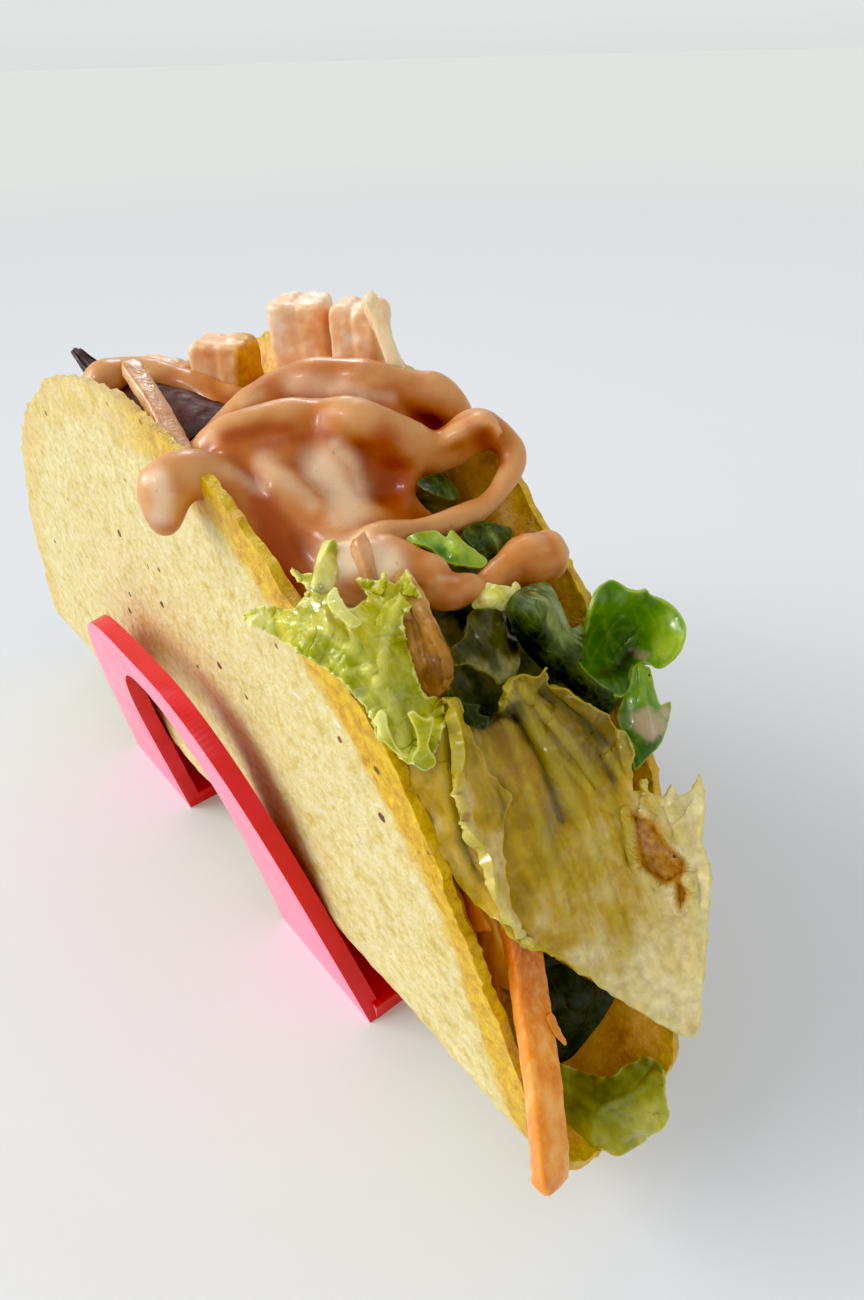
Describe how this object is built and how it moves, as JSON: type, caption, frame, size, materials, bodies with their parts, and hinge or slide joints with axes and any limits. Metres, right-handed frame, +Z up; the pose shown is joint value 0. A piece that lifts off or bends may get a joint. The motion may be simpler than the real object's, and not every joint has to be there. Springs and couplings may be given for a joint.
{
  "type": "taco",
  "caption": "Hard-shell taco filled with salad, vegetable strips and squeezed sauce, standing in an open plastic arch holder.",
  "frame": {"origin": "middle of the bounding box's footprint, on the surface the holder stands on", "axes": "+X along the fold of the tortilla towards the end where the large lettuce leaf and the carrot strip hang out, +Z up"},
  "size_m": [0.1338, 0.038, 0.0782],
  "materials": {
    "tortilla": "baked corn tortilla, pale yellow and rough, deeper yellow at the rim",
    "holder_plastic": "bright red moulded plastic",
    "coated_chunk": "soft chunk coated with sauce",
    "carrot": "moist raw carrot",
    "onion": "pale moist vegetable strip",
    "lettuce": "thin wet yellow-green lettuce",
    "coated_leaf": "lettuce coated with sauce",
    "dark_leaf": "dark green leaf",
    "bright_leaf": "bright green smooth leaf",
    "purple_leaf": "dark purple leaf",
    "sauce": "smooth salmon-coloured sauce, glossy",
    "salad": "chopped mixed salad"
  },
  "bodies": {
    "root": {"tortilla_shell": "tortilla", "taco_holder": "holder_plastic", "coated_chunk_1": "coated_chunk", "coated_chunk_2": "coated_chunk", "coated_chunk_3": "coated_chunk", "coated_chunk_4": "coated_chunk", "coated_chunk_5": "coated_chunk", "coated_chunk_6": "coated_chunk", "carrot_strip_1": "carrot", "carrot_strip_2": "carrot", "carrot_strip_3": "carrot", "carrot_strip_4": "carrot", "carrot_strip_5": "carrot", "onion_strip_1": "onion", "onion_strip_2": "onion", "onion_strip_3": "onion", "lettuce_stem": "lettuce", "lettuce_leaf_front": "lettuce", "lettuce_frill_front": "lettuce", "coated_leaf_fold": "coated_leaf", "rolled_leaf": "dark_leaf", "leaf_cup": "bright_leaf", "leaf_tip": "dark_leaf", "leaf_bit_1": "bright_leaf", "leaf_bit_2": "bright_leaf", "leaf_bit_3": "bright_leaf", "dark_leaf_inside": "dark_leaf", "lettuce_piece_bottom": "lettuce", "purple_leaf": "purple_leaf", "lettuce_leaf_back": "lettuce", "lettuce_frill_back": "lettuce", "dark_leaf_back": "dark_leaf", "salad_heap": "salad", "sauce_ribbon": "sauce", "sauce_swirl": "sauce"}
  },
  "joints": []
}
